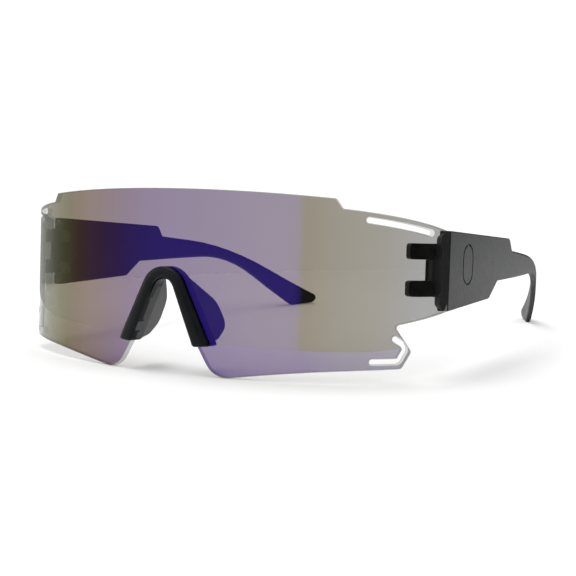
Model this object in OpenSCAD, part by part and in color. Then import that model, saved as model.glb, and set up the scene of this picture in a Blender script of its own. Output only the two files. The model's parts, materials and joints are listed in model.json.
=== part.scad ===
// Wraparound sport sunglasses: a rimless one-piece shield lens, a clip-on nose saddle with two
// pads, and two stepped temples that fold on screw hinges.
// Everything is drawn in the wearing pose: x runs across the face (+x is the wearer's left),
// y runs back from the middle of the lens front, z runs up along the straight lines of the
// lens. placed() then tips the glasses back so that they stand on the lens and the temple tips.

/* [Lens] */
// Radius of the flat middle of the lens, seen from above
front_r = 125; // [115:1:135]
// Radius of the shoulder between the middle and the end
shoulder_r = 50; // [45:1:55]
// Radius of the tightly curved end
end_r = 23.5; // [22:0.5:25]
// Direction of the lens where the middle meets the shoulder, in degrees
shoulder_angle = 23; // [22:1:24]
// Direction of the lens where the shoulder meets the end
end_angle = 40; // [39:1:41]
// Direction of the lens at its rear edge
rear_angle = 82; // [81:1:83]
// Lens thickness
lens_t = 1.6; // [1.4:0.1:1.8]
// Height of the top edge above the datum, at the middle
top_z = 25.6; // [24:0.1:27]
// Depth of the lens lobes below the datum
lobe_z = 24.3; // [23.5:0.1:25]
// Width of the slots cut through the wings
slot_w = 1.4; // [1:0.1:1.6]

/* [Nose saddle] */
// How far the saddle stands in front of the lens
saddle_front = 1.8; // [1.4:0.1:2.2]
// How far the saddle reaches behind the lens
saddle_rear = 2.4; // [2:0.1:2.8]
// Thickness of a nose pad
pad_t = 2; // [1.6:0.1:2.2]
// Angle by which the pads spread towards the rear, in degrees
pad_spread = 14; // [12:0.5:16]

/* [End pieces] */
// Thickness of the two prongs behind the lens
prong_t = 1.8; // [1.5:0.1:2.2]
// Thickness of the block that carries the hinge
block_t = 2.6; // [2.4:0.1:2.8]

/* [Hinge] */
// Outer radius of the hinge barrel
barrel_r = 1.6; // [1.5:0.1:1.7]
// Radius of the hinge screw's shank
screw_r = 0.6; // [0.5:0.05:0.7]
// Radial running clearance between the shank and the temple
hinge_play = 0.05; // [0.03:0.01:0.1]

/* [Temples] */
// Thickness of the temple at its hinge
temple_t = 3.2; // [3:0.1:3.4]
// Thickness of the arm where it starts to curve inward
arm_t = 2.2; // [2:0.1:2.6]
// Inward lean of the straight part, in degrees
toe_in = 2.3; // [1.5:0.1:3]
// Radius of the inward curve of the arm
inward_r = 155; // [150:1:160]
// Angle through which the arm curves inward
inward_angle = 31; // [30.5:0.5:33]
// Radius of the downward curve of the arm
drop_r = 110; // [106:1:116]
// Rounding under the arm's tip
tip_r = 2.5; // [2.2:0.1:2.8]
// Thickness of the arm's tip
tip_t = 1.7; // [1.5:0.1:2]

/* [Hidden] */
$fn = 96;
gap = 0.3;         // space between parts that move past each other
snug = 0.05;       // space around parts that are fastened together
far = 60;          // longer than any cut
joined = 0.6;      // overlap of shapes that are fused together

lens_color = [0.42, 0.36, 0.50, 0.65];
black = [0.07, 0.08, 0.09];
pad_color = [0.25, 0.25, 0.26];
temple_color = [0.30, 0.30, 0.32];
steel = [0.62, 0.63, 0.65];

// --- Lens curve seen from above: three arcs that run into each other ---
front_c = [0, front_r];
shoulder_c = front_c + (front_r - shoulder_r) * heading(shoulder_angle);
end_c = shoulder_c + (shoulder_r - end_r) * heading(end_angle);
front_s = arc_length(front_r, shoulder_angle);
shoulder_s = front_s + arc_length(shoulder_r, end_angle - shoulder_angle);
rear_s = shoulder_s + arc_length(end_r, rear_angle - end_angle);

function heading(a) = [sin(a), -cos(a)];
function arc_length(r, a) = r * a * PI / 180;
function arc_angle(r, s) = s / r * 180 / PI;
// Direction of the lens at the distance s from its middle, measured along its front face
function angle_at(s) =
    s <= front_s ? arc_angle(front_r, s)
    : s <= shoulder_s ? shoulder_angle + arc_angle(shoulder_r, s - front_s)
    : end_angle + arc_angle(end_r, s - shoulder_s);
// Point of the lens front face at the distance s, seen from above
function plan(s) =
    s <= front_s ? front_c + front_r * heading(angle_at(s))
    : s <= shoulder_s ? shoulder_c + shoulder_r * heading(angle_at(s))
    : end_c + end_r * heading(angle_at(s));
wing_dir = 60;     // direction in which the outline of a wing is seen square on
function wing_x(s) = plan(s) * [cos(wing_dir), sin(wing_dir)];

// --- Outlines with rounded corners: each corner is [x, y, radius] ---
function unit(v) = v / norm(v);
function turn(v, a) = [v.x * cos(a) - v.y * sin(a), v.x * sin(a) + v.y * cos(a)];
function half_angle(a, p, b) = acos(unit(a - p) * unit(b - p)) / 2;
function corner_centre(a, p, b, r) = p + unit(unit(a - p) + unit(b - p)) * r / sin(half_angle(a, p, b));
function corner(a, p, b, r, steps = 6) =
    r == 0 ? [p] : let (
        half = half_angle(a, p, b), c = corner_centre(a, p, b, r),
        start = p + unit(a - p) * r / tan(half) - c, way = sign(cross(a - p, b - p)))
    [for (k = [0:steps]) c + turn(start, -way * (180 - 2 * half) * k / steps)];
function flat(p) = [p.x, p.y];
function rounded(pts) = let (n = len(pts)) [
    for (i = [0:n - 1])
        each corner(flat(pts[(i + n - 1) % n]), flat(pts[i]), flat(pts[(i + 1) % n]), pts[i][2])];

// --- Lens outline, as [distance along the front face, height] ---
step_s = 48.7;     // where the top edge steps down
step_z = 23.9;
wing_s = 50.6;
wing_z = 21.3;
notch = [65.1, -8.7];
lobe_tip = [70, -15.3];
lobe_end = [67.2, -19.9];
nose_corner = [16.4, -25.3];
nose_corner_r = 7;
// Upper edge of the wing, falling faster towards the rear
function wing_top(s) = wing_z - 0.075 * (s - wing_s) - 0.0028 * pow(s - wing_s, 2);
// Lower edge of the lobe, rising from its lowest point beside the nose
lowest_s = 23;
function lobe_bottom(s) = -lobe_z + 0.155 * (s - lowest_s) - 0.0013 * pow(s - lowest_s, 2);

// Nose cut-out: two slanted sides under a round top, given by its foot, its peak and its radius
saddle_outer = [[15.1, -16.5], 12.8, 7.2];
saddle_inner = [[10.5, -16.9], 7.6, 4.1];
lens_notch = [[11.3, -17], 9.3, 4.6];
function arch(a, foot_r = 0) =
    rounded([[a[0].x, a[0].y, foot_r], [0, a[1], a[2]], [-a[0].x, a[0].y, foot_r]]);
// The same cut-out, smaller by d all round
function smaller(a, d) = let (slope = atan2(a[0].x, a[1] - a[0].y))
    [[a[0].x - d / cos(slope), a[0].y], a[1] - d / sin(slope), a[2] - d];

split_s = 44;      // where the drawing changes from the front to the wing
top_edge = [for (s = [0:split_s / 8:split_s]) [s, top_z - (top_z - step_z) * pow(s / step_s, 2), 0]];
bottom_edge = [for (s = [58:-7:lowest_s]) [s, lobe_bottom(s), 0]];
half_outline = rounded(concat(
    top_edge,
    [[step_s, step_z, 0.8], [wing_s, wing_z, 0.6]],
    [for (k = [1:6]) let (s = wing_s + (rear_s + 1 - wing_s) * k / 6) [s, wing_top(s), 0]],
    [[rear_s + 1, -4.9, 0], [notch.x, notch.y, 0.7], [lobe_tip.x, lobe_tip.y, 1.2],
     [lobe_end.x, lobe_end.y, 1.4]],
    bottom_edge,
    [[nose_corner.x, nose_corner.y, nose_corner_r], [lens_notch[0].x, lens_notch[0].y, 0],
     [0, lens_notch[0].y, 0]]));

// --- Hinge and temple datum: the end of the lens ---
seam = plan(rear_s);
hinge_x = -(temple_t + gap + barrel_r);   // hinge axis, inward from the outer face
hinge_y = gap / 2;
hinge_z = 5.5;
temple_barrel_h = 6;
end_barrel_h = 3.4;
foot_l = 3.2;          // length of the foot that joins a fixed barrel to the block
hinge_top = hinge_z + temple_barrel_h / 2 + gap + end_barrel_h;
hinge_bottom = hinge_z - temple_barrel_h / 2 - gap - end_barrel_h;

// --- Temple outline, as [distance behind the seam, height] ---
plate_top = wing_top(rear_s) + 0.3;
plate_bottom = -5.1;
straight_l = 56;             // where the arm starts to curve inward
plate_corner = [50.3, 14.6]; // upper rear corner of the plate
plate_foot = [52.9, 10.9];   // foot of the step behind it
plate_low = [33.2, -2.9];    // lower rear corner of the plate
arm_start = [40.3, 2.1];     // where the lower edge of the arm begins
arm_over = [90, 8];          // meeting points of the straight runs of the upper and lower edges,
arm_under = [90.1, 3.9];     // which are rounded where the arm turns down
under_r = 45;
tip_low = [119.9, -15.8];    // the tip: its lowest corner, the end of its sole and its nose
tip_sole = [128.4, -14.9];
tip_nose = [131.4, -12.6];
tip_c = corner_centre(arm_under, tip_low, tip_sole, tip_r);

// --- Standing pose: the lobes and the tips touch the ground together ---
tip_at = [seam.y + tip_c.x * cos(toe_in), tip_c.y];
lobe_c = corner_centre(lens_notch[0], nose_corner, [lowest_s, lobe_bottom(lowest_s)], nose_corner_r);
lobe_at = [plan(lobe_c.x).y + lens_t, lobe_c.y - nose_corner_r];
reach = tip_at - lobe_at;
rest_tilt = atan2(reach.y, reach.x) - asin(tip_r / norm(reach));
ground = lobe_at.y * cos(rest_tilt) - lobe_at.x * sin(rest_tilt);
mid_y = 79.05;         // middle of the overall depth

module placed() {
    translate([0, -mid_y, -ground])
        rotate([-rest_tilt, 0, 0]) children();
}

// Mirrors its children to the wearer's right when way is -1
module side(way) {
    mirror([way < 0 ? 1 : 0, 0, 0]) children();
}

// Extrudes an [x, z] outline from front to back
module through(y0, y1) {
    translate([0, y1, 0]) rotate([90, 0, 0]) linear_extrude(y1 - y0) children();
}

// Extrudes a [wing_x, z] outline through one wing, square to the wing
module through_wing() {
    rotate([0, 0, wing_dir]) through(-far * 1.5, 0) children();
}

// Points of the lens curve, at the depth d behind the front face, from one lens end to the other
function inward(s, d) = plan(s) - d * heading(angle_at(s));
arc_steps = [for (k = [0:14]) front_s * k / 14,
             for (k = [1:7]) front_s + (shoulder_s - front_s) * k / 7,
             for (k = [1:20]) shoulder_s + (rear_s - shoulder_s) * k / 20];
function curve_points(d) = let (half = [for (s = arc_steps) inward(s, d)], n = len(half)) concat(
    [for (k = [n - 1:-1:1]) [-half[k].x, half[k].y]], half);

// A sheet that follows the lens curve, from depth d0 to depth d1 behind the front face
module lens_sheet(d0, d1, z0 = -30, z1 = 30) {
    translate([0, 0, z0]) linear_extrude(z1 - z0)
        polygon(concat(curve_points(d0), reversed(curve_points(d1))));
}

// A slot with round ends and bends along a path of points
module slot(path) {
    for (i = [0:len(path) - 2]) {
        half = turn(unit(path[i + 1] - path[i]), 90) * slot_w / 2;
        polygon([path[i] + half, path[i] - half, path[i + 1] - half, path[i + 1] + half]);
    }
    for (p = path) translate(p) circle(d = slot_w, $fn = 24);
}
function on_wing(p) = [wing_x(p.x), p.y];

top_slot = [for (s = [57.4:4.35:74.8]) [s, wing_top(s) - 2.15]];
hook_slot = [[65.2, -12.1], [67.5, -13.5], [68, -14.6], [66.3, -17.9], [59.3, -18.2]];

module wing_outline() {
    difference() {
        polygon([for (p = half_outline) if (p.x >= split_s) on_wing(p)]);
        slot([for (p = top_slot) on_wing(p)]);
        slot([for (p = hook_slot) on_wing(p)]);
    }
}

module lens() {
    color(lens_color) placed() difference() {
        intersection() {
            lens_sheet(0, lens_t);
            union() {
                through(-1, 20) difference() {
                    for (way = [0, 1]) mirror([way, 0])
                        polygon([for (p = half_outline) if (p.x <= split_s) [plan(p.x).x, p.y]]);
                    polygon(arch(lens_notch));
                }
                for (way = [-1, 1]) side(way) intersection() {
                    through_wing() wing_outline();
                    translate([plan(split_s).x, -1, -far / 2]) cube(far);
                }
            }
        }
        for (way = [-1, 1]) side(way) {
            behind_seam();
            for (z = stud_zs) stud_frame(z) stud_shape(snug);
        }
    }
}

// --- Studs that fix the lens: the head is let into the inner face, the shank into the end piece ---
stud_zs = [10.8, 1];
stud_s = rear_s - 3.3;
stud_head_r = 1.5;
stud_head_h = 0.5;
stud_l = 1.5;
module stud_frame(z) {
    translate([end_c.x, end_c.y, z]) rotate([0, 0, angle_at(stud_s) - 90])
        translate([end_r - lens_t, 0, 0]) rotate([0, 90, 0]) children();
}

module stud_shape(extra) {
    translate([0, 0, -stud_l - extra]) cylinder(r = screw_r + extra, h = stud_l + 0.1 + extra);
    translate([0, 0, -snug]) cylinder(r = stud_head_r + extra, h = stud_head_h + snug + extra);
}

module lens_stud(way, z) {
    color(black) placed() side(way) stud_frame(z) stud_shape(0);
}

// --- Nose saddle: a clip whose groove holds the edge of the nose cut-out ---
module nose_saddle() {
    color(black) placed() difference() {
        intersection() {
            lens_sheet(-saddle_front, lens_t + saddle_rear);
            through(-10, 20) difference() {
                polygon(arch(saddle_outer, 1));
                polygon(arch(saddle_inner));
            }
        }
        intersection() {
            lens_sheet(-snug, lens_t + snug);
            through(-10, 20) difference() {
                translate([-30, -30]) square(60);
                polygon(arch(smaller(lens_notch, snug)));
            }
        }
        for (way = [-1, 1]) side(way) leg_frame() {
            pad_hooks(snug);
            pad_liner(snug);
        }
    }
}

// Moves a drawing onto the inner face of the left leg: x runs down the leg, y runs back
leg_angle = 23.4;
module leg_frame() {
    translate([saddle_inner[0].x, 0, saddle_inner[0].y]) rotate([0, 90 - leg_angle, 0]) children();
}
hook_us = [-9.5, -5.8];      // places of the pad's two hooks, up from the foot of the leg
hook_w = 1.5;
hook_t = 0.7;
hook_reach = 0.6;            // how far a hook runs in front of the lens face
pad_back = lens_t + saddle_rear;

// Two hooks that hold a pad in the saddle leg
module pad_hooks(extra) {
    for (u = hook_us)
        translate([u - extra, -hook_reach - extra, -extra])
            cube([hook_w + 2 * extra, pad_back + 2 + extra, hook_t + 2 * extra]);
}

// The front of a pad: a thin liner in a recess of the leg's inner face, with a small clip at its
// front edge between two notches
liner_t = 0.3;
liner_u = [-17, -0.6];       // where the liner starts and ends, up from the foot of the leg
liner_front = 1.1;
liner_clip = [-6, -3.2];
clip_front = -0.5;
notch_w = 0.6;
notch_l = 0.6;
module pad_liner(extra) {
    difference() {
        translate([liner_u[0] - extra, liner_front - extra, -extra])
            cube([liner_u[1] - liner_u[0] + 2 * extra, pad_back - liner_front + joined + extra,
                  liner_t + 2 * extra]);
        if (extra == 0)
            for (u = [liner_clip[0] - notch_w, liner_clip[1]])
                translate([u, liner_front - 1, -1]) cube([notch_w, notch_l + 1, 2]);
    }
    translate([liner_clip[0] - extra, clip_front - extra, -extra])
        cube([liner_clip[1] - liner_clip[0] + 2 * extra, liner_front + 1 - clip_front + extra,
              liner_t + 2 * extra]);
}

// A nose pad: a leaf-shaped plate that stands back from the leg of the saddle
module nose_pad(way) {
    leaf = [[-21.5, -2, 0], [-21.1, -0.3, 1], [-17.2, 3.2, 5], [-11.2, 8.6, 7], [-4, 9.4, 4],
            [-0.6, 4.8, 2.5], [-0.3, -2, 0]];
    color(pad_color) placed() side(way) {
        difference() {
            leg_frame() translate([0, pad_back, 0]) rotate([pad_spread, 0, 0])
                linear_extrude(pad_t) polygon(rounded(leaf));
            lens_sheet(-5, pad_back + snug);
        }
        leg_frame() {
            pad_hooks(0);
            pad_liner(0);
        }
    }
}

// --- End pieces: two prongs and a block behind the lens, with the fixed half of the hinge ---
prong_s = 69.5;
web_s = 76.8;
block_s = 80.1;
block_z = -4.2;        // lower edge of the block, falling to block_rear_z
block_rear_z = -5.6;
block_corner_r = 1.9;
upper_prong = [8.7, 12.9];
lower_prong = [-1.1, 3.1];

// Seam frame: the outer face of the lens end, x outward, y back along the temple
module seam_frame() {
    translate([seam.x, seam.y, 0]) rotate([0, 0, toe_in]) children();
}

// Everything behind the seam, where the temple begins
module behind_seam() {
    seam_frame() translate([-far / 2, 0, -far / 2]) cube(far);
}

module end_piece(way) {
    front = lens_t + snug;
    color(black) placed() side(way) difference() {
        union() {
            difference() {
                intersection() {
                    lens_sheet(front, front + block_t);
                    union() {
                        through_wing() block_outline();
                        intersection() {
                            lens_sheet(0, front + prong_t);
                            through_wing() prong_outline();
                        }
                    }
                }
                behind_seam();
            }
            seam_frame() for (z = [hinge_bottom, hinge_top - end_barrel_h])
                translate([hinge_x, hinge_y, z]) {
                    cylinder(r = barrel_r, h = end_barrel_h);
                    translate([-barrel_r, -foot_l, 0])
                        cube([-hinge_x + barrel_r - lens_t, foot_l - hinge_y, end_barrel_h]);
                }
        }
        lens_sheet(-1, front);
        seam_frame() translate([hinge_x, hinge_y, 0]) {
            translate([0, 0, hinge_z - temple_barrel_h / 2 - gap])
                cylinder(r = barrel_r + gap, h = temple_barrel_h + 2 * gap);
            translate([0, 0, hinge_bottom - 1]) cylinder(r = screw_r, h = 30);
            translate([0, 0, hinge_top - screw_head_h]) cylinder(r = screw_head_r + snug, h = 5);
        }
        for (z = stud_zs) stud_frame(z) stud_shape(snug / 5);
    }
}

module prong_outline() {
    for (zs = [upper_prong, lower_prong])
        polygon([for (p = rounded([[prong_s, zs[0], 0.8], [rear_s, zs[0], 0], [rear_s, zs[1], 0],
                                   [prong_s, zs[1], 0.8]])) on_wing(p)]);
    polygon([for (p = [[web_s, lower_prong[0]], [rear_s, lower_prong[0]], [rear_s, upper_prong[1]],
                       [web_s, upper_prong[1]]]) on_wing(p)]);
}

module block_outline() {
    block_top = wing_top(rear_s) - 0.2;
    polygon([for (p = rounded([[block_s, block_z, block_corner_r], [rear_s + 1, block_rear_z, 0],
                               [rear_s + 1, block_top, 0], [block_s, block_top, block_corner_r]]))
        on_wing(p)]);
}

// --- Hinge screw: a slotted head and a shank that the temple turns on ---
screw_head_r = 1.1;
screw_head_h = 0.9;
screw_sink = 0.1;      // how far the head lies below the top of the hinge
driver_slot = [4, 0.4];
driver_slot_depth = 0.4;
module hinge_screw(way) {
    head_top = hinge_top - screw_sink;
    head_z = hinge_top - screw_head_h;
    color(steel) placed() side(way) seam_frame() translate([hinge_x, hinge_y, 0]) difference() {
        union() {
            translate([0, 0, hinge_bottom]) cylinder(r = screw_r, h = head_top - hinge_bottom);
            translate([0, 0, head_z]) cylinder(r = screw_head_r, h = head_top - head_z);
        }
        translate([0, 0, head_top]) cube([driver_slot.x, driver_slot.y, 2 * driver_slot_depth], true);
    }
}

// --- Temples ---
// One face of the arm from above, while its distance from the centre of the curve runs from r0 to r1
function arm_side(r0, r1, steps = 14) = [for (k = [0:steps]) let (t = k / steps)
    [straight_l, -inward_r] + (r0 + (r1 - r0) * t) * [sin(inward_angle * t), cos(inward_angle * t)]];
function reversed(pts) = [for (k = [len(pts) - 1:-1:0]) pts[k]];

// The stepped plate and the arm seen from the side, as [distance behind the seam, height]
module temple_profile() {
    polygon(rounded([
        [gap, plate_top, 0.3],
        [plate_corner.x, plate_corner.y, 2], [plate_foot.x, plate_foot.y, 1],
        [arm_over.x, arm_over.y, drop_r], [tip_nose.x, tip_nose.y, 1.6],
        [tip_sole.x, tip_sole.y, 2], [tip_low.x, tip_low.y, tip_r],
        [arm_under.x, arm_under.y, under_r], [arm_start.x, arm_start.y, 1.5],
        [plate_low.x, plate_low.y, 2], [gap, plate_bottom, 0.3]]));
}

// The temple seen from above, as [distance behind the seam, outward]: straight, then curving inward
module temple_plan() {
    polygon(concat([[0, 0]], arm_side(inward_r, inward_r),
                   reversed(arm_side(inward_r - arm_t, inward_r - tip_t)), [[0, -temple_t]]));
}

// The outline of a plain upright pill engraved in the outer face of the plate
engraving_at = [14.5, 7.25];
engraving_size = [8, 11.5];
engraving_line = 0.55;
engraving_depth = 0.3;
module engraving() {
    translate(engraving_at) difference() {
        pill(engraving_size);
        pill(engraving_size - 2 * [engraving_line, engraving_line]);
    }
}
module pill(size) {
    hull() for (way = [-1, 1])
        translate([0, way * (size.y - size.x) / 2]) circle(d = size.x, $fn = 32);
}

module temple(way) {
    color(temple_color) placed() side(way) seam_frame() difference() {
        union() {
            intersection() {
                mirror([1, -1, 0]) translate([0, 0, -far]) linear_extrude(2 * far) temple_plan();
                rotate([90, 0, 90]) translate([0, 0, -far]) linear_extrude(2 * far) temple_profile();
            }
            translate([hinge_x, hinge_y, hinge_z - temple_barrel_h / 2]) {
                cylinder(r = barrel_r, h = temple_barrel_h);
                translate([0, gap, 0])
                    cube([-hinge_x - temple_t + joined, barrel_r - gap, temple_barrel_h]);
            }
        }
        translate([hinge_x, hinge_y, -far]) cylinder(r = screw_r + hinge_play, h = 2 * far);
        translate([-engraving_depth, 0, 0]) rotate([90, 0, 90]) linear_extrude(1) engraving();
    }
}

lens();
nose_saddle();
nose_pad(1);  // nose_pad_left
nose_pad(-1);  // nose_pad_right
end_piece(1);  // end_piece_left
end_piece(-1);  // end_piece_right
lens_stud(1, stud_zs[0]);  // lens_stud_left_upper
lens_stud(1, stud_zs[1]);  // lens_stud_left_lower
lens_stud(-1, stud_zs[0]);  // lens_stud_right_upper
lens_stud(-1, stud_zs[1]);  // lens_stud_right_lower
hinge_screw(1);  // hinge_screw_left
hinge_screw(-1);  // hinge_screw_right
temple(1);  // temple_left
temple(-1);  // temple_right
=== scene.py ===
"""Wraparound sport sunglasses: the looks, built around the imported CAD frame.

Pieces are drawn in millimetres in the wearing frame of the CAD source: x runs across the face, y
runs back from the middle of the lens, and z runs up along the straight lines of the lens.
in_row() moves a point from there to the row frame, in metres.
"""

import json
import math

import bmesh
import bpy
from mathutils import Matrix, Vector
from mathutils.geometry import delaunay_2d_cdt


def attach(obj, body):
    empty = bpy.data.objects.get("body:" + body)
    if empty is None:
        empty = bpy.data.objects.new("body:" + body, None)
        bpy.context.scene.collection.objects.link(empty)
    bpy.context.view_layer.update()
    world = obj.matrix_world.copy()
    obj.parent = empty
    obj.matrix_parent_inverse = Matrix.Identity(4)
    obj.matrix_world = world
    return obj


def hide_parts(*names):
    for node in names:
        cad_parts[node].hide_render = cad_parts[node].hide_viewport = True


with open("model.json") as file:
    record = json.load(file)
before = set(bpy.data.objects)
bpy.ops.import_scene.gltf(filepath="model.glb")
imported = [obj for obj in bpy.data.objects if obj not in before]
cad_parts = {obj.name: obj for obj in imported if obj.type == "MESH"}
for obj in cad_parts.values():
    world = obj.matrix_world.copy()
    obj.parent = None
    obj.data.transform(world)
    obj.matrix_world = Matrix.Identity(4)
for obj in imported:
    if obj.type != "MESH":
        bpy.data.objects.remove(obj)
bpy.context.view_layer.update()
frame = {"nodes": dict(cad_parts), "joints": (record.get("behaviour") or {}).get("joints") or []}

MM = 0.001

# ---------------------------------------------------------------- dimensions, in millimetres
LENS_ARCS = ((125, 23), (50, 40), (23.5, 82))  # radius, and direction in degrees at the arc's end
LENS_T = 1.6
LENS_EDGE_R = 0.22  # rounding of the polished rim
TOP_Z, STEP_S, STEP_Z = 25.6, 48.7, 23.9
WING_S, WING_Z = 50.6, 21.3
WING_SLOPE, WING_BOW = 0.075, 0.0028  # fall of the wing's top edge towards the rear
LOBE_Z, LOWEST_S = 24.3, 23
LOBE_SLOPE, LOBE_BOW = 0.155, 0.0013  # rise of the lower edge towards the rear
PLATE_BOTTOM = -5.1  # the lens and the temple both end here at the seam
LENS_GRID = (1.1, 3.0)  # spacing of the mesh points along and up the lens
NOTCH_LENS = ((11.3, -17), 9.3, 4.6)  # nose cut-out: foot, peak and radius of the round top
NOTCH_OUTER = ((15.1, -16.5), 12.8, 7.2)
NOTCH_INNER = ((10.5, -16.9), 7.6, 4.1)
SLOT_W, SLOT_INSET = 1.4, 2.15
SADDLE_FRONT, SADDLE_REAR = -1.8, 4.0  # depths behind the front face of the lens
GROOVE, SNUG = 3.4, 0.05  # depth of the saddle's lens groove, and its clearance
LEG_ANGLE = math.radians(23.4)
PAD_T, PAD_SPREAD = 2.0, math.radians(14)
TOE_IN = math.radians(2.3)
TEMPLE_T, ARM_T, TIP_T = 3.2, 2.2, 1.7
STRAIGHT_L = 56.0
INWARD_R, INWARD_ANGLE = 155.0, math.radians(31)
DROP_R, UNDER_R, TIP_R = 110.0, 45.0, 2.5
EDGE_R_PLATE, EDGE_R_ARM = 0.32, 0.92
EDGE_BLEND_U, EDGE_BLEND_L = 46.0, 22.0  # where the rounding grows, and over what length
JOINED = 0.6  # overlap of shapes that are fused together
GAP, BARREL_R, BARREL_H, SHANK_HOLE_R = 0.3, 1.6, 6.0, 0.65
HINGE_Z = 5.5
HINGE_X = -(TEMPLE_T + GAP + BARREL_R)
HINGE_Y = GAP / 2
ENGRAVING_U, ENGRAVING_Z = 14.5, 7.25  # middle of the engraved pill
ENGRAVING_W, ENGRAVING_H, ENGRAVING_LINE = 8.0, 11.5, 0.55
ENGRAVING_DEPTH, ENGRAVING_DRAFT = 0.3, 0.06


# ---------------------------------------------------------------- the lens curve and the row frame
def heading(angle):
    return Vector((math.sin(angle), -math.cos(angle)))


def lens_curve(s):
    """Point and direction, in radians, of the lens front at the distance s >= 0 from its middle."""
    centre, start, left = Vector((0, LENS_ARCS[0][0])), 0.0, s
    for k, (radius, end) in enumerate(LENS_ARCS):
        end = math.radians(end)
        run = radius * (end - start)
        if left <= run or k == len(LENS_ARCS) - 1:
            angle = start + left / radius
            return centre + radius * heading(angle), angle
        left -= run
        centre += (radius - LENS_ARCS[k + 1][0]) * heading(end)
        start = end


def curve_length():
    total, start = 0.0, 0.0
    for radius, end in LENS_ARCS:
        total += radius * math.radians(end - start)
        start = end
    return total


REAR_S = curve_length()
SEAM = lens_curve(REAR_S)[0]


def seam_point(out, back, z):
    """A point given outward from and behind the rear end of the lens, along the temple."""
    c, s = math.cos(TOE_IN), math.sin(TOE_IN)
    return Vector((SEAM.x + out * c - back * s, SEAM.y + out * s + back * c, z))


fold = next(j for j in frame["joints"] if j["name"] == "temple_left_fold")
ROW = (
    Matrix.Translation(fold["pos_m"])
    @ Matrix.Rotation(-math.asin(fold["axis"][1]), 4, "X")
    @ Matrix.Scale(MM, 4)
    @ Matrix.Translation(-seam_point(HINGE_X, HINGE_Y, HINGE_Z))
)


def in_row(p):
    return ROW @ Vector(p)


# ---------------------------------------------------------------- outlines
def round_corner(a, p, b, radius, steps):
    """The points of the arc that rounds the corner p between a and b."""
    to_a, to_b = (a - p).normalized(), (b - p).normalized()
    half = to_a.angle(to_b) / 2
    centre = p + (to_a + to_b).normalized() * radius / math.sin(half)
    start = p + to_a * radius / math.tan(half) - centre
    end = p + to_b * radius / math.tan(half) - centre
    turn = start.angle_signed(end)
    points = []
    for k in range(steps + 1):
        v = start.copy()
        v.rotate(Matrix.Rotation(-turn * k / steps, 2))
        points.append(centre + v)
    return points


def rounded(corners, closed=True, steps=6):
    """An outline from (x, y, radius) corners; the ends of an open one stay as they are."""
    points, n = [], len(corners)
    flat = [Vector(c[:2]) for c in corners]
    for i, corner in enumerate(corners):
        radius = corner[2] if len(corner) > 2 else 0
        if radius == 0 or (not closed and i in (0, n - 1)):
            points.append(flat[i])
        else:
            points += round_corner(flat[i - 1], flat[i], flat[(i + 1) % n], radius, steps)
    return points


def resample(loop, step):
    """The closed loop with points added so that none of its sides is longer than step."""
    points = []
    for i, p in enumerate(loop):
        q = loop[(i + 1) % len(loop)]
        parts = max(1, math.ceil((q - p).length / step))
        points += [p.lerp(q, k / parts) for k in range(parts)]
    return points


def outward(loop):
    """For each point of a counterclockwise loop, the step that moves its two sides out by one."""
    steps = []
    for i, p in enumerate(loop):
        before = (p - loop[i - 1]).normalized()
        after = (loop[(i + 1) % len(loop)] - p).normalized()
        n0, n1 = Vector((before.y, -before.x)), Vector((after.y, -after.x))
        steps.append((n0 + n1) / max(0.3, 1 + n0.dot(n1)))
    return steps


def area(loop):
    """The area inside a loop, above zero if it runs counterclockwise."""
    return sum(loop[i - 1].x * p.y - loop[i - 1].y * p.x for i, p in enumerate(loop)) / 2


def counterclockwise(loop):
    return loop if area(loop) > 0 else loop[::-1]


def ribbon(path, width):
    """The outline of a slot of that width with round ends, along an open path."""
    left, right = [], []
    n = len(path)
    for i, p in enumerate(path):
        before = (p - path[i - 1]).normalized() if i else (path[1] - p).normalized()
        after = (path[i + 1] - p).normalized() if i < n - 1 else before
        n0, n1 = Vector((-before.y, before.x)), Vector((-after.y, after.x))
        side = (n0 + n1) / (1 + n0.dot(n1)) * width / 2
        left.append(p + side)
        right.append(p - side)
    ends = []
    for tip, side in ((path[-1], left[-1] - path[-1]), (path[0], right[0] - path[0])):
        cap = []
        for k in range(1, 8):
            v = side.copy()
            v.rotate(Matrix.Rotation(-math.pi * k / 8, 2))
            cap.append(tip + v)
        ends.append(cap)
    return counterclockwise(left + ends[0] + right[::-1] + ends[1])


def holds(loop, p):
    """True if the loop goes round the point p."""
    inside = False
    for i, a in enumerate(loop):
        b = loop[i - 1]
        if (a.y > p.y) != (b.y > p.y) and p.x < (b.x - a.x) * (p.y - a.y) / (b.y - a.y) + a.x:
            inside = not inside
    return inside


def distance(loop, p):
    """How far the point p is from the loop."""
    best = 1e9
    for i, a in enumerate(loop):
        side = loop[i - 1] - a
        t = max(0, min(1, (p - a).dot(side) / max(side.length_squared, 1e-12)))
        best = min(best, (a + side * t - p).length)
    return best


# ---------------------------------------------------------------- closed pieces on a curved sheet
def round_rim(radius, thickness, steps=4):
    """(inset, depth, lean) round the edge of a plate. Lean is 90 facing the front and -90 the back."""
    rim = []
    for k in range(steps + 1):
        a = math.pi / 2 * (1 - k / steps)
        rim.append((radius * (1 - math.cos(a)), radius * (1 - math.sin(a)), a))
    return rim + [(i, thickness - d, -a) for i, d, a in rim[::-1]]


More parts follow.
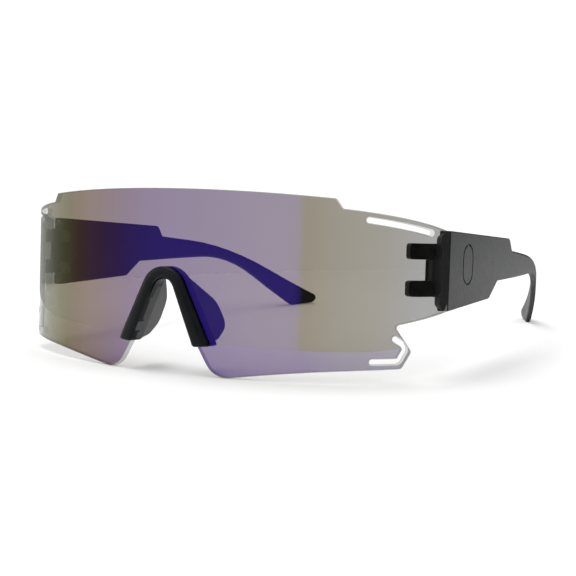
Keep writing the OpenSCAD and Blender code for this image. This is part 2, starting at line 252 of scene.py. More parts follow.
class Shell:
    """A closed mesh whose outlines are laid on a curved sheet by place(x, y, depth)."""

    def __init__(self, place, tag=None):
        self.place, self.tag = place, tag
        self.points, self.known, self.faces, self.normals, self.slots, self.tags = [], {}, [], [], [], []

    def vertex(self, x, y, depth):
        p = self.place(x, y, depth)
        key = tuple(round(c, 4) for c in p)
        if key not in self.known:
            self.known[key] = len(self.points)
            self.points.append(p)
            self.tags.append(self.tag(x, y) if self.tag else 0.0)
        return self.known[key]

    def lean(self, x, y, depth, out, angle):
        """The normal that leans by angle from the outline's outward step towards the front."""
        e = 0.02
        here = self.place(x, y, depth)
        front = (self.place(x, y, depth - e) - here).normalized()
        side = (self.place(x + out.x * e, y + out.y * e, depth) - here).normalized()
        return (side * math.cos(angle) + front * math.sin(angle)).normalized()

    def add(self, corners, slot):
        """One face, from (x, y, depth, out, angle) corners."""
        ids = {}
        for x, y, depth, out, angle in corners:
            ids.setdefault(self.vertex(x, y, depth), self.lean(x, y, depth, out, angle))
        if len(ids) > 2:
            self.faces.append(list(ids))
            self.normals.append(ids)
            self.slots.append(slot)

    def cap(self, loops, depth, side, spacing, slot=0):
        """The face inside loops[0] and outside the others. Side is 1 at the front, -1 at the back."""
        points = [p for loop in loops for p in loop]
        edges, start = [], 0
        for loop in loops:
            n = len(loop)
            edges += [(start + i, start + (i + 1) % n) for i in range(n)]
            start += n
        for p in grid_inside(loops, spacing):
            points.append(p)
        verts, _, faces, *_ = delaunay_2d_cdt(points, edges, [], 1, 1e-5)
        out, angle = Vector((1, 0)), side * math.pi / 2
        for face in faces:
            centre = sum((verts[i] for i in face), Vector((0, 0))) / len(face)
            if not any(holds(loop, centre) for loop in loops[1:]):
                self.add([(*verts[i], depth, out, angle) for i in face], slot)

    def wall(self, loop, rims, slot=0, hole=False):
        """The sides between rings. rims has one list of (inset, depth, lean) for each point."""
        sign = -1 if hole else 1
        steps = outward(loop)
        rings = []
        for k in range(len(rims[0])):
            ring = []
            for p, step, rim in zip(loop, steps, rims):
                inset, depth, angle = rim[k]
                q = p - step * inset * sign
                ring.append((q.x, q.y, depth, step.normalized() * sign, angle))
            rings.append(ring)
        for k in range(len(rings) - 1):
            for i in range(len(loop)):
                j = (i + 1) % len(loop)
                self.add([rings[k][i], rings[k][j], rings[k + 1][j], rings[k + 1][i]], slot)
        return [[Vector(c[:2]) for c in ring] for ring in (rings[0], rings[-1])]

    def build(self, name, materials):
        mesh = bpy.data.meshes.new(name)
        mesh.from_pydata([in_row(p) for p in self.points], [], self.faces)
        for material in materials:
            mesh.materials.append(material)
        mesh.polygons.foreach_set("material_index", self.slots)
        face_outward(mesh)
        turn = ROW.to_3x3().normalized()
        normals = [(0, 0, 1)] * len(mesh.loops)
        for face in mesh.polygons:
            known = self.normals[face.index]
            for i in face.loop_indices:
                normals[i] = turn @ known[mesh.loops[i].vertex_index]
        mesh.polygons.foreach_set("use_smooth", [True] * len(mesh.polygons))
        mesh.normals_split_custom_set(normals)
        if self.tag:
            mesh.attributes.new("tag", "FLOAT", "POINT").data.foreach_set("value", self.tags)
        return link(name, mesh)


def face_outward(mesh):
    bm = bmesh.new()
    bm.from_mesh(mesh)
    bmesh.ops.recalc_face_normals(bm, faces=bm.faces)
    bm.to_mesh(mesh)
    bm.free()


def closed_mesh(name, points, faces, paint, sharp):
    """A smooth mesh that is creased where it turns by more than sharp degrees."""
    mesh = bpy.data.meshes.new(name)
    mesh.from_pydata(points, [], faces)
    face_outward(mesh)
    mesh.polygons.foreach_set("use_smooth", [True] * len(mesh.polygons))
    mesh.set_sharp_from_angle(angle=math.radians(sharp))
    mesh.materials.append(paint)
    return mesh


def link(name, data):
    piece = bpy.data.objects.new(name, data)
    bpy.context.scene.collection.objects.link(piece)
    return piece


def grid_inside(loops, spacing):
    """Points of a grid inside loops[0], outside the others and clear of all."""
    dx, dy = spacing
    xs, ys = [p.x for p in loops[0]], [p.y for p in loops[0]]
    points = []
    for i in range(1, int((max(xs) - min(xs)) / dx) + 1):
        for j in range(1, int((max(ys) - min(ys)) / dy) + 1):
            p = Vector((min(xs) + i * dx, min(ys) + (j - 0.5 * (i % 2)) * dy))
            if not holds(loops[0], p) or any(holds(loop, p) for loop in loops[1:]):
                continue
            if all(distance(loop, p) > 0.45 * min(dx, dy) for loop in loops):
                points.append(p)
    return points


def mirrored(place, way):
    """The same place on the wearer's left for way 1 and right for way -1."""

    def put(x, y, depth):
        p = place(x, y, depth)
        return Vector((p.x * way, p.y, p.z))

    return put


# ---------------------------------------------------------------- materials
def material(name):
    made = bpy.data.materials.new(name)
    made.use_nodes = True
    tree = made.node_tree
    tree.nodes.clear()
    return made, tree


def node(tree, kind, inputs=None, **settings):
    made = tree.nodes.new(kind)
    for key, value in settings.items():
        setattr(made, key, value)
    for key, value in (inputs or {}).items():
        if isinstance(value, bpy.types.NodeSocket):
            tree.links.new(value, made.inputs[key])
        else:
            made.inputs[key].default_value = value
    return made


def ramp(tree, factor, stops):
    """A colour ramp over (position, colour) stops."""
    made = node(tree, "ShaderNodeValToRGB", {"Fac": factor})
    elements = made.color_ramp.elements
    while len(elements) < len(stops):
        elements.new(0.5)
    for element, (position, colour) in zip(elements, stops):
        element.position = position
        element.color = colour if len(colour) == 4 else (*colour, 1)
    return made.outputs["Color"]


def output(tree, shader):
    node(tree, "ShaderNodeOutputMaterial", {"Surface": shader})


def noise(tree, scale, detail):
    """Noise over the object's own coordinates, in waves a metre."""
    where = node(tree, "ShaderNodeTexCoord").outputs["Object"]
    made = node(tree, "ShaderNodeTexNoise", {"Vector": where, "Scale": scale, "Detail": detail})
    return made.outputs["Fac"]


def span(tree, value, low, high):
    """A 0 to 1 value stretched to run from low to high."""
    made = node(tree, "ShaderNodeMapRange", {"Value": value, "To Min": low, "To Max": high})
    return made.outputs["Result"]


def moulded(name, dark, light, rough, grain, depth, shine, sheen=0.0):
    """Moulded plastic or rubber: mottled colour, uneven gloss and a fine grain in relief."""
    made, tree = material(name)
    mottle = noise(tree, 260, 4)
    colour = ramp(tree, mottle, ((0.3, dark), (0.7, light)))
    gloss = span(tree, noise(tree, 900, 3), rough - 0.06, rough + 0.06)
    relief = node(
        tree,
        "ShaderNodeBump",
        {"Height": noise(tree, grain, 2), "Strength": 0.35, "Distance": depth},
    )
    shader = node(
        tree,
        "ShaderNodeBsdfPrincipled",
        {"Base Color": colour, "Roughness": gloss, "Normal": relief.outputs["Normal"], "IOR": 1.5},
    )
    shader.inputs["Specular IOR Level"].default_value = shine
    shader.inputs["Sheen Weight"].default_value = sheen
    output(tree, shader.outputs["BSDF"])
    return made


def steel():
    """Turned steel with fine scratches round the part."""
    made, tree = material("turned_steel")
    where = node(tree, "ShaderNodeTexCoord").outputs["Object"]
    stretched = node(tree, "ShaderNodeMapping", {"Vector": where, "Scale": (1, 1, 40)}).outputs["Vector"]
    lines = node(tree, "ShaderNodeTexNoise", {"Vector": stretched, "Scale": 900, "Detail": 3}).outputs["Fac"]
    colour = ramp(tree, lines, ((0.3, (0.42, 0.42, 0.44)), (0.7, (0.62, 0.62, 0.64))))
    relief = node(tree, "ShaderNodeBump", {"Height": lines, "Strength": 0.3, "Distance": 0.00003})
    shader = node(
        tree,
        "ShaderNodeBsdfPrincipled",
        {
            "Base Color": colour,
            "Roughness": span(tree, lines, 0.25, 0.42),
            "Normal": relief.outputs["Normal"],
            "Metallic": 1.0,
        },
    )
    output(tree, shader.outputs["BSDF"])
    return made


def facing(tree):
    """0 where the surface faces the eye and 1 where it is seen edge on."""
    return node(tree, "ShaderNodeLayerWeight", {"Blend": 0.5}).outputs["Facing"]


def coat_cover(tree):
    """1 where the mirror coating is whole, falling to 0 at the curved ends of the lens."""
    place = node(tree, "ShaderNodeAttribute", attribute_name="tag").outputs["Fac"]
    uneven = span(tree, noise(tree, 60, 2), -0.006, 0.006)
    place = node(tree, "ShaderNodeMath", {0: place, 1: uneven}, operation="ADD").outputs["Value"]
    stops = ((0.50, 1.0), (0.61, 0.75), (0.73, 0.58), (0.80, 0.40), (0.89, 0.04), (0.93, 0.0))
    return ramp(tree, place, [(p, (c, c, c)) for p, c in stops])


def mix_colour(tree, factor, a, b):
    made = tree.nodes.new("ShaderNodeMix")
    made.data_type = "RGBA"
    for key, value in ((0, factor), (6, a), (7, b)):
        if isinstance(value, bpy.types.NodeSocket):
            tree.links.new(value, made.inputs[key])
        else:
            made.inputs[key].default_value = value
    return made.outputs[2]


def mirror_and_clear(tree, mirror, passed):
    """A perfectly smooth face that reflects one colour and lets another one through."""
    shiny = node(tree, "ShaderNodeBsdfGlossy", {"Color": mirror, "Roughness": 0.0})
    clear = node(tree, "ShaderNodeBsdfTransparent", {"Color": passed})
    both = node(tree, "ShaderNodeAddShader", {0: shiny.outputs[0], 1: clear.outputs[0]})
    output(tree, both.outputs[0])


BARE_GLOSS = (
    (0.0, (0.045,) * 3),
    (0.25, (0.055,) * 3),
    (0.4, (0.085,) * 3),
    (0.6, (0.16,) * 3),
    (0.8, (0.38,) * 3),
    (1.0, (1,) * 3),
)


def lens_front():
    """The coated face: a violet-blue mirror that turns purple and then olive as it is seen edge on.

    The face also carries the smoke tint of the whole thickness, so that the cut edges stay clear.
    """
    made, tree = material("lens_mirror_coat")
    tilt = facing(tree)
    cover = coat_cover(tree)
    coat = ramp(
        tree,
        tilt,
        (
            (0.0, (0.018, 0.007, 0.141)),
            (0.20, (0.020, 0.009, 0.139)),
            (0.27, (0.020, 0.009, 0.104)),
            (0.315, (0.023, 0.008, 0.070)),
            (0.38, (0.029, 0.011, 0.040)),
            (0.457, (0.040, 0.021, 0.018)),
            (0.55, (0.060, 0.063, 0.027)),
            (0.75, (0.15, 0.16, 0.12)),
            (1.0, (1, 1, 1)),
        ),
    )
    bare = ramp(tree, tilt, BARE_GLOSS)
    coated_pass = ramp(
        tree,
        tilt,
        (
            (0.0, (0.300, 0.270, 0.205)),
            (0.05, (0.300, 0.263, 0.225)),
            (0.13, (0.276, 0.236, 0.220)),
            (0.29, (0.254, 0.207, 0.212)),
            (0.42, (0.246, 0.204, 0.167)),
            (0.56, (0.170, 0.155, 0.112)),
            (0.75, (0.13, 0.12, 0.09)),
            (1.0, (0.02, 0.02, 0.015)),
        ),
    )
    bare_pass = ramp(
        tree,
        tilt,
        (
            (0.0, (0.385, 0.390, 0.385)),
            (0.45, (0.340, 0.340, 0.335)),
            (0.75, (0.27, 0.27, 0.265)),
            (1.0, (0.03, 0.03, 0.03)),
        ),
    )
    mirror = mix_colour(tree, cover, bare, coat)
    passed = mix_colour(tree, cover, bare_pass, coated_pass)
    mirror_and_clear(tree, mirror, passed)
    return made


def lens_back():
    """The inner face: clear, and glossy when it is seen from the wearer's side."""
    made, tree = material("lens_clear_back")
    inside = node(tree, "ShaderNodeNewGeometry").outputs["Backfacing"]
    smear = span(tree, noise(tree, 45, 3), 0.93, 0.98)
    gloss = mix_colour(tree, inside, ramp(tree, facing(tree), BARE_GLOSS), (0, 0, 0, 1))
    mirror_and_clear(tree, gloss, smear)
    return made


def lens_rim():
    """The cut edge: clear plastic with faint saw marks. Painted shade: the dark body's share is highest in
    the middle of the lens and falls towards its ends, so the rim is darker near the nose.
    """
    made, tree = material("lens_cut_edge")
    marks = noise(tree, 1500, 2)
    relief = node(tree, "ShaderNodeBump", {"Height": marks, "Strength": 0.2, "Distance": 0.00003})
    body = node(
        tree,
        "ShaderNodeBsdfPrincipled",
        {
            "Base Color": ramp(tree, marks, ((0.3, (0.025, 0.027, 0.026)), (0.7, (0.045, 0.047, 0.045)))),
            "Roughness": span(tree, marks, 0.15, 0.3),
            "Normal": relief.outputs["Normal"],
        },
    )
    clear = node(tree, "ShaderNodeBsdfTransparent", {"Color": (0.84, 0.84, 0.83, 1)})
    place = node(tree, "ShaderNodeAttribute", attribute_name="tag").outputs["Fac"]
    # painted shade along the rim: dark share 0.35 in the middle of the lens, falling to 0.15 towards the ends
    rim_painted_shade = ramp(tree, place, ((0.0, (0.35,) * 3), (0.3, (0.35,) * 3), (0.5, (0.25,) * 3), (0.7, (0.15,) * 3)))
    both = node(tree, "ShaderNodeMixShader", {0: rim_painted_shade, 1: clear.outputs[0], 2: body.outputs[0]})
    output(tree, both.outputs[0])
    return made


LENS_MATERIALS = (lens_front(), lens_back(), lens_rim())
TEMPLE_PAINT = moulded(
    "temple_soft_touch",
    dark=(0.0125, 0.0132, 0.0148, 1),
    light=(0.017, 0.0178, 0.0198, 1),
    rough=0.42,
    grain=5200,
    depth=0.00003,
    shine=0.25,
)
FRAME_BLACK = moulded(
    "satin_black_nylon",
    dark=(0.003, 0.004, 0.005, 1),
    light=(0.006, 0.007, 0.008, 1),
    rough=0.38,
    grain=3200,
    depth=0.00004,
    shine=0.14,
)
# black nylon painted many times lighter than the other black parts: painted reflection, standing in for the
# brightness on the end piece's front
END_NYLON_PAINTED_REFLECTION = moulded(
    "end_piece_nylon_painted_reflection",
    dark=(0.045, 0.046, 0.045, 1),
    light=(0.058, 0.060, 0.058, 1),
    rough=0.38,
    grain=3200,
    depth=0.00004,
    shine=0.45,
)
PAD_RUBBER = moulded(
    "pad_rubber",
    dark=(0.045, 0.046, 0.048, 1),
    light=(0.062, 0.063, 0.065, 1),
    rough=0.60,
    grain=4200,
    depth=0.00003,
    shine=0.3,
    sheen=0.15,
)
STEEL = steel()


# ---------------------------------------------------------------- lens
def place_lens(s, z, depth):
    point, angle = lens_curve(abs(s))
    point = point - depth * heading(angle)
    return Vector((math.copysign(point.x, s) if s else 0.0, point.y, z))


def wing_top(s):
    return WING_Z - WING_SLOPE * (s - WING_S) - WING_BOW * (s - WING_S) ** 2


def lobe_bottom(s):
    return -LOBE_Z + LOBE_SLOPE * (s - LOWEST_S) - LOBE_BOW * (s - LOWEST_S) ** 2


def half_lens():
    """The outline of the wearer's left half, from the top of the lens to the top of the cut-out."""
    foot, peak, radius = NOTCH_LENS
    corners = [(s, TOP_Z - (TOP_Z - STEP_Z) * (s / STEP_S) ** 2, 0) for s in range(0, 48, 4)]
    corners += [(STEP_S, STEP_Z, 0.8), (WING_S, WING_Z, 0.6)]
    corners += [(s, wing_top(s), 0) for s in (55, 60, 65, 70, 75, 79)]
    corners += [(REAR_S, wing_top(REAR_S), 0), (REAR_S, PLATE_BOTTOM, 0)]
    corners += [(65.1, -8.7, 0.7), (70, -15.3, 1.2), (67.2, -19.9, 1.4)]
    corners += [(s, lobe_bottom(s), 0) for s in range(58, LOWEST_S - 1, -7)]
    corners += [(16.4, -25.3, 7), (*foot, 0), (0, peak, radius), (-foot[0], foot[1], 0)]
    points = rounded(corners, closed=False)
    return [p for p in points if p.x >= -1e-6]


def lens_loop():
    half = half_lens()
    top = [p for p in half if p.x > 1e-6]
    arch_top = max(p.y for p in half if p.x < 4 and p.y < 10)
    left = [half[0], *top, Vector((0, arch_top))]
    right = [Vector((-p.x, p.y)) for p in top[::-1]]
    return counterclockwise(resample(left + right, 1.0))


def lens_slots():
    """A long slot under the top edge and a hooked one in the lobe, on both sides."""
    top = [Vector((s, wing_top(s) - SLOT_INSET)) for s in (57.4, 61.8, 66.1, 70.5, 74.8)]
    hook = rounded(
        [(65.2, -12.1), (67.4, -13.4, 0.8), (68.1, -14.7, 0.8), (66.3, -17.9, 1.3), (59.3, -18.2)],
        closed=False,
    )
    slots = []
    for path in (top, hook):
        loop = resample(ribbon(path, SLOT_W), 1.0)
        slots += [loop, counterclockwise([Vector((-p.x, p.y)) for p in loop])]
    return slots


def make_lens():
    shell = Shell(place_lens, tag=lambda s, z: abs(s) / REAR_S)
    rim = round_rim(LENS_EDGE_R, LENS_T, 3)
    loop = lens_loop()
    fronts, backs = [], []
    for edge, hole in [(loop, False)] + [(slot, True) for slot in lens_slots()]:
        front, back = shell.wall(edge, [rim] * len(edge), 2, hole)
        fronts.append(front)
        backs.append(back)
    shell.cap(fronts, 0, 1, LENS_GRID, 0)
    shell.cap(backs, LENS_T, -1, LENS_GRID, 1)
    return shell.build("shield_lens", LENS_MATERIALS)


# ---------------------------------------------------------------- nose saddle
def arch_stations(foot, peak, radius, legs=14, arcs=24):
    """Points along a nose arch from its left foot over the top to its right foot."""
    foot = Vector(foot)
    slope = math.atan2(foot.x, peak - foot.y)
    centre = peak - radius / math.sin(slope)
    touch = Vector((radius * math.cos(slope), centre + radius * math.sin(slope)))
    half = [foot.lerp(touch, k / legs) for k in range(legs)]
    span_angle = math.pi / 2 - slope
    for k in range(arcs // 2 + 1):
        a = slope + span_angle * k / (arcs // 2)
        half.append(Vector((radius * math.cos(a), centre + radius * math.sin(a))))
    return half + [Vector((-p.x, p.y)) for p in half[-2::-1]]


def saddle_profile(width):
    """The clip's section as (from the outer side, depth): a lens groove, a ridge and soft corners."""
    return [
        (0.0, -SNUG), (0.0, -0.75), (0.12, -1.05), (0.38, -1.25),
        (1.05, -1.50), (1.22, -1.62), (1.40, -1.62), (1.60, -1.70),
        (width - 1.1, SADDLE_FRONT), (width - 0.55, -1.70), (width - 0.2, -1.42), (width, -1.0),
        (width, SADDLE_REAR - 0.6), (width - 0.18, SADDLE_REAR - 0.18), (width - 0.6, SADDLE_REAR),
        (0.6, SADDLE_REAR), (0.18, SADDLE_REAR - 0.18), (0.0, SADDLE_REAR - 0.6),
        (0.0, LENS_T + SNUG), (GROOVE, LENS_T + SNUG), (GROOVE, -SNUG),
    ]


def front_y(x):
    """How far the lens front curves back at the distance x from the middle."""
    radius = LENS_ARCS[0][0]
    return radius - math.sqrt(radius * radius - x * x)


def make_saddle():
    outer, inner = arch_stations(*NOTCH_OUTER), arch_stations(*NOTCH_INNER)
    rings = []
    for o, i in zip(outer, inner):
        across = i - o
        width = across.length
        across.normalize()
        ring = []
        for w, depth in saddle_profile(width):
            p = o + across * w
            ring.append(Vector((p.x, front_y(p.x) + depth, p.y)))
        rings.append(ring)
    rings = round_end(rings[::-1])[::-1]
    return loft("nose_clip", round_end(rings), FRAME_BLACK)


def round_end(rings, radius=0.7, steps=3):
    """Rounds the last end of a loft by drawing its last sections together."""
    last, before = rings[-1], rings[-2]
    centre = sum(last, Vector((0, 0, 0))) / len(last)
    along = (centre - sum(before, Vector((0, 0, 0))) / len(before)).normalized()
    size = max((p - centre).length for p in last)
    kept = rings[:-1]
    for k in range(steps + 1):
        a = math.pi / 2 * k / steps
        shrink = 1 - radius * (1 - math.cos(a)) / size
        back = radius * (1 - math.sin(a))
        kept.append([centre + (p - centre) * shrink - along * back for p in last])
    return kept


def loft(name, rings, paint, sharp=32):
    """A closed piece through sections of equal point count, with a face over each end."""
    n = len(rings[0])
    points = [in_row(p) for ring in rings for p in ring]
    faces = []
    for k in range(len(rings) - 1):
        for i in range(n):
            j = (i + 1) % n
            faces.append((k * n + i, k * n + j, (k + 1) * n + j, (k + 1) * n + i))
    last = (len(rings) - 1) * n
    faces += [tuple(range(n)), tuple(range(last, last + n))]
    return link(name, closed_mesh(name, points, faces, paint, sharp))


# ---------------------------------------------------------------- nose pads
LEAF = (
    (-21.1, -0.3, 0.6), (-17.2, 3.2, 5), (-11.2, 8.6, 7), (-4.0, 9.4, 4), (-0.6, 4.8, 2.5), (-0.3, -0.3, 0.3),
)
LEAF_TOP, LEAF_L, LEAF_W, LEAF_CROWN = -21.5, 21.2, 9.5, 0.3
LINER_T, LINER_FRONT, CLIP_FRONT, LINER_LIFT = 0.3, 1.1, -0.5, 0.02
LINER_U, CLIP_U, PAD_NOTCH_W, PAD_NOTCH_L = (-17, -0.6), (-6, -3.2), 0.6, 0.6


def on_leg(u, y, out):
    """u runs down the inner face of the saddle leg, y runs back and out runs into the leg."""
    foot = Vector(NOTCH_INNER[0])
    down = Vector((math.sin(LEG_ANGLE), -math.cos(LEG_ANGLE)))
    p = foot + down * u + Vector((math.cos(LEG_ANGLE), math.sin(LEG_ANGLE))) * out
    return Vector((p.x, y, p.y))


def place_pad(u, v, depth):
    """v runs back along the leaf, which stands away from the leg, and depth runs through it."""
    along = max(0, min(1, (u - LEAF_TOP) / LEAF_L))
    across = max(0, min(1, v / LEAF_W))
    crown = LEAF_CROWN * math.sin(math.pi * along) * math.sin(math.pi * across)
    depth -= crown * (1 - depth / PAD_T)
    y = SADDLE_REAR + v * math.cos(PAD_SPREAD) - depth * math.sin(PAD_SPREAD)
    return on_leg(u, y, v * math.sin(PAD_SPREAD) + depth * math.cos(PAD_SPREAD))


def place_liner(u, y, depth):
    return on_leg(u, y, depth - LINER_LIFT)


def liner_loop():
    """The part of the pad that lines the leg, with a clip between two notches at its front."""
    top, foot = LINER_U
    deep = LINER_FRONT + PAD_NOTCH_L
    corners = [(top, SADDLE_REAR + 0.1, 0), (top, LINER_FRONT, 0.3)]
    for u, far_side in ((CLIP_U[0], -1), (CLIP_U[1], 1)):
        notch = [(u, CLIP_FRONT, 0.3), (u, deep, 0.12)]
        notch += [(u + far_side * PAD_NOTCH_W, deep, 0.12), (u + far_side * PAD_NOTCH_W, LINER_FRONT, 0.12)]
        corners += notch[::-1] if far_side < 0 else notch
    corners += [(foot, LINER_FRONT, 0.3), (foot, SADDLE_REAR + 0.1, 0)]
    return counterclockwise(resample(rounded(corners, steps=3), 0.8))


def make_pad(name, way):
    leaf = Shell(mirrored(place_pad, way))
    loop = counterclockwise(resample(rounded(LEAF), 0.6))
    front, back = leaf.wall(loop, [round_rim(0.6, PAD_T, 5)] * len(loop))
    leaf.cap([front], 0, 1, (0.9, 0.9))
    leaf.cap([back], PAD_T, -1, (0.9, 0.9))
    liner = Shell(mirrored(place_liner, way))
    loop = liner_loop()
    front, back = liner.wall(loop, [round_rim(0.06, LINER_T, 2)] * len(loop))
    liner.cap([front], 0, 1, (1.2, 1.2))
    liner.cap([back], LINER_T, -1, (1.2, 1.2))
    return leaf.build(name, [PAD_RUBBER]), liner.build(name + "_liner", [PAD_RUBBER])


# ---------------------------------------------------------------- temples
def place_temple(u, z, depth):
    """u runs back from the seam, z runs up and depth runs inward from the outer face.

    The depth is that of the full plate; it shrinks with the temple's thickness towards the tip.
    """
    share = depth / TEMPLE_T
    if u <= STRAIGHT_L:
        thick = TEMPLE_T + (ARM_T - TEMPLE_T) * max(u, 0) / STRAIGHT_L
        return seam_point(-thick * share, u, z)
    r = INWARD_R
    for _ in range(4):
        angle = math.asin((u - STRAIGHT_L) / r)
        thick = ARM_T + (TIP_T - ARM_T) * angle / INWARD_ANGLE
        r = INWARD_R - thick * share
    return seam_point(r * math.cos(angle) - INWARD_R, u, z)


def temple_loop():
    """The temple from the side: the stepped plate, then the arm with its flared tip."""
    corners = [
        (GAP, PLATE_BOTTOM, 0.4), (GAP, wing_top(REAR_S) + 0.3, 0.4), (50.3, 14.6, 2.0), (52.9, 10.9, 1.0),
        (90.0, 8.0, DROP_R), (131.4, -12.6, 1.6), (128.4, -14.9, 2.0), (119.9, -15.8, TIP_R),
        (90.1, 3.9, UNDER_R), (40.3, 2.1, 1.5), (33.2, -2.9, 2.0),
    ]
    return counterclockwise(resample(rounded(corners), 1.2))


def temple_edge_r(u):
    """Rounding of the temple's edges: crisp on the plate and full on the arm."""
    t = max(0, min(1, (u - EDGE_BLEND_U) / EDGE_BLEND_L))
    return EDGE_R_PLATE + (EDGE_R_ARM - EDGE_R_PLATE) * t * t * (3 - 2 * t)


def pill(width, height):
    """An upright pill round the middle of the engraving."""
    r = width / 2
    half = height / 2 - r
    points = []
    for start, y in ((0, ENGRAVING_Z + half), (math.pi, ENGRAVING_Z - half)):
        for k in range(13):
            a = start + math.pi * k / 12
            points.append(Vector((ENGRAVING_U + r * math.cos(a), y + r * math.sin(a))))
    return points


def tube(place, r_in, r_out, height, chamfer=0.15, steps=40):
    """Points and faces of a short chamfered tube, laid out by place(angle, radius, height)."""
    section = [
        (r_in, chamfer), (r_in + chamfer, 0), (r_out - chamfer, 0), (r_out, chamfer),
        (r_out, height - chamfer), (r_out - chamfer, height),
        (r_in + chamfer, height), (r_in, height - chamfer),
    ]
    points, faces = [], []
    n = len(section)
    for k in range(steps):
        a = 2 * math.pi * k / steps
        points += [place(a, r, h) for r, h in section]
        m = (k + 1) % steps
        faces += [(k * n + i, k * n + (i + 1) % n, m * n + (i + 1) % n, m * n + i) for i in range(n)]
    return points, faces


def hinge_barrel(way):
    """The temple's half of the hinge: a drilled barrel and the foot that joins it to the plate."""

    def put(out, back, z):
        p = seam_point(out, back, z)
        return in_row((p.x * way, p.y, p.z))

    def round_axis(angle, r, h):
        return put(HINGE_X + r * math.cos(angle), HINGE_Y + r * math.sin(angle), z0 + h)

    z0, z1 = HINGE_Z - BARREL_H / 2, HINGE_Z + BARREL_H / 2
    y0, y1 = HINGE_Y + GAP, HINGE_Y + BARREL_R
    chamfer = 0.15
    points, faces = tube(round_axis, SHANK_HOLE_R, BARREL_R, BARREL_H)
    section = [
        (y0, z0 + chamfer), (y0 + chamfer, z0), (y1 - chamfer, z0), (y1, z0 + chamfer),
        (y1, z1 - chamfer), (y1 - chamfer, z1), (y0 + chamfer, z1), (y0, z1 - chamfer),
    ]
    start, n = len(points), len(section)
    for x in (HINGE_X + SHANK_HOLE_R + 0.3, -TEMPLE_T + JOINED):
        points += [put(x, y, z) for y, z in section]
    faces += [(start + i, start + (i + 1) % n, start + n + (i + 1) % n, start + n + i) for i in range(n)]
    faces += [tuple(range(start, start + n)), tuple(range(start + n, start + 2 * n))]
    return closed_mesh("hinge_barrel", points, faces, TEMPLE_PAINT, 30)


def make_temple(name, way):
    shell = Shell(mirrored(place_temple, way))
    loop = temple_loop()
    rims = [round_rim(temple_edge_r(p.x), TEMPLE_T, 5) for p in loop]
    front, back = shell.wall(loop, rims)
    outer_pill = resample(pill(ENGRAVING_W, ENGRAVING_H), 0.8)
    inner_pill = resample(pill(ENGRAVING_W - 2 * ENGRAVING_LINE, ENGRAVING_H - 2 * ENGRAVING_LINE), 0.8)
    groove = [
        (0, 0, math.pi / 2), (0, 0, 0),
        (-ENGRAVING_DRAFT, ENGRAVING_DEPTH, 0), (-ENGRAVING_DRAFT, ENGRAVING_DEPTH, math.pi / 2),
    ]
    shell.cap([front, outer_pill], 0, 1, (1.6, 1.6))
    _, floor_outer = shell.wall(outer_pill, [groove] * len(outer_pill), 0, True)
    _, floor_inner = shell.wall(inner_pill, [groove] * len(inner_pill))
    shell.cap([floor_outer, floor_inner], ENGRAVING_DEPTH, 1, (0.8, 0.8))
    shell.cap([inner_pill], 0, 1, (1.6, 1.6))
    shell.cap([back], TEMPLE_T, -1, (1.6, 1.6))
    piece = shell.build(name, [TEMPLE_PAINT])
    barrel = link(name + "_barrel", hinge_barrel(way))
    return piece, barrel


# ---------------------------------------------------------------- CAD nodes that keep their shape
def finish_node(name, paint, edge):
    """Gives a CAD node its material and slightly rounded edges."""
    piece = frame["nodes"][name]
    piece.data.materials.clear()
    piece.data.materials.append(paint)
    weld = piece.modifiers.new("weld", "WELD")
    weld.merge_threshold = 0.000005
    bevel = piece.modifiers.new("edges", "BEVEL")
    bevel.width = edge * MM
    bevel.segments = 2
    bevel.limit_method = "ANGLE"
    bevel.angle_limit = math.radians(35)
    bevel.harden_normals = True


# ---------------------------------------------------------------- assembly
lens = make_lens()
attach(lens, "front")
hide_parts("lens")

saddle = make_saddle()
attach(saddle, "front")
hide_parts("nose_saddle")

for side, way in (("left", 1), ("right", -1)):
    leaf, liner = make_pad(f"soft_pad_{side}", way)
    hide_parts(f"nose_pad_{side}")
    for part in (leaf, liner):
        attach(part, "front")
    temple, barrel = make_temple(f"arm_{side}", way)
    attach(temple, f"{side}_temple")
    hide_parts(f"temple_{side}")
    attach(barrel, f"{side}_temple")
    finish_node(f"end_piece_{side}", END_NYLON_PAINTED_REFLECTION, 0.2)
    finish_node(f"hinge_screw_{side}", STEEL, 0.06)
    for level in ("upper", "lower"):
        finish_node(f"lens_stud_{side}_{level}", FRAME_BLACK, 0.1)


# ---------------------------------------------------------------- stage, light and camera
def make_floor():
    half_w, half_d, count = 0.20, 0.26, 64
    points = []
    for k in range(count):
        a = 2 * math.pi * k / count
        points.append((half_w * math.cos(a), half_d * math.sin(a), 0))
    mesh = bpy.data.meshes.new("floor")
    mesh.from_pydata(points, [], [tuple(range(count))])
    paint, tree = material("floor_white")
    shader = node(tree, "ShaderNodeBsdfDiffuse", {"Color": (0.92, 0.92, 0.92, 1)})
    output(tree, shader.outputs[0])
    mesh.materials.append(paint)
    floor = link("floor", mesh)


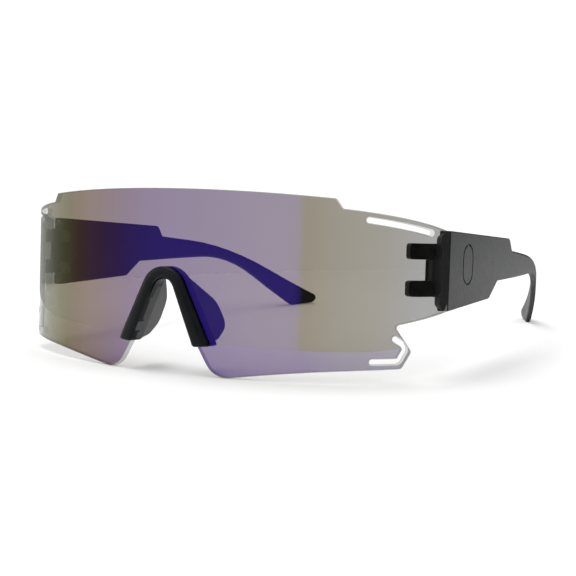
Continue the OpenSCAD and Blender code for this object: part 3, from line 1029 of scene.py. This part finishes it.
def make_world():
    """A light tent: walls that go from pale to dark round the glasses, and a white ceiling.

    The eye sees a plain white backdrop in place of the walls.
    """
    world = bpy.data.worlds.new("tent")
    bpy.context.scene.world = world
    world.use_nodes = True
    tree = world.node_tree
    tree.nodes.clear()
    way = node(tree, "ShaderNodeTexCoord").outputs["Generated"]
    parts = node(tree, "ShaderNodeSeparateXYZ", {"Vector": way})
    minus_y = node(tree, "ShaderNodeMath", {0: parts.outputs["Y"], 1: -1.0}, operation="MULTIPLY").outputs[0]
    azimuth = node(
        tree, "ShaderNodeMath", {0: parts.outputs["X"], 1: minus_y}, operation="ARCTAN2"
    ).outputs[0]
    share = node(
        tree, "ShaderNodeMapRange", {"Value": azimuth, "From Min": -math.pi, "From Max": math.pi}
    ).outputs["Result"]

    def at(degrees):
        return (degrees + 180) / 360

    wall = ramp(
        tree,
        share,
        (
            (0.0, (0.30,) * 3),
            (at(-125), (0.40,) * 3),
            (at(-95), (0.83,) * 3),
            (at(5.2), (0.83,) * 3),
            (at(6.6), (0.0,) * 3),
            (at(105), (0.02,) * 3),
            (at(128), (0.20,) * 3),
            (at(150), (0.06,) * 3),
        ),
    )
    height = node(
        tree, "ShaderNodeMapRange", {"Value": parts.outputs["Z"], "From Min": 0.35, "From Max": 0.6}
    ).outputs["Result"]
    around = mix_colour(tree, height, wall, (1.0, 1.0, 1.0, 1))
    seen = node(tree, "ShaderNodeLightPath").outputs["Is Camera Ray"]
    shown = mix_colour(tree, seen, around, (1.08, 1.08, 1.08, 1))
    sky = node(tree, "ShaderNodeBackground", {"Color": shown, "Strength": 1.0})
    node(tree, "ShaderNodeOutputWorld", {"Surface": sky.outputs[0]})


def make_light(name, place, aim, size, power):
    """A round softbox, hidden from the camera."""
    lamp = bpy.data.lights.new(name, "AREA")
    lamp.shape, lamp.size, lamp.energy = "DISK", size, power
    light = link(name, lamp)
    light.location = place
    light.rotation_euler = (Vector(place) - Vector(aim)).to_track_quat("Z", "Y").to_euler()
    light.visible_camera = False


def make_camera():
    """A long lens, a little above the glasses and 31 degrees to the wearer's left."""
    azimuth, elevation, roll = (math.radians(a) for a in (31.107, 6.071, 0.073))
    level = math.cos(elevation)
    back = Vector((math.sin(azimuth) * level, -math.cos(azimuth) * level, math.sin(elevation)))
    data = bpy.data.cameras.new("camera")
    data.lens = 73.47
    data.sensor_width = 36
    data.clip_start = 0.01
    camera = link("camera", data)
    camera.location = (0.19355, -0.33448, 0.05712)
    turn = (-back).to_track_quat("-Z", "Y") @ Matrix.Rotation(roll, 3, "Z").to_quaternion()
    camera.rotation_euler = turn.to_euler()
    bpy.context.scene.camera = camera


make_floor()
make_world()
make_light("overhead", (-0.15, -0.05, 0.75), (0, 0, 0), 0.5, 2.6)
make_light("rear_side", (0.105, 0.12, 0.02), (0.066, 0.0, 0.028), 0.06, 0.0125)
make_camera()
bpy.context.scene.view_settings.view_transform = "Standard"
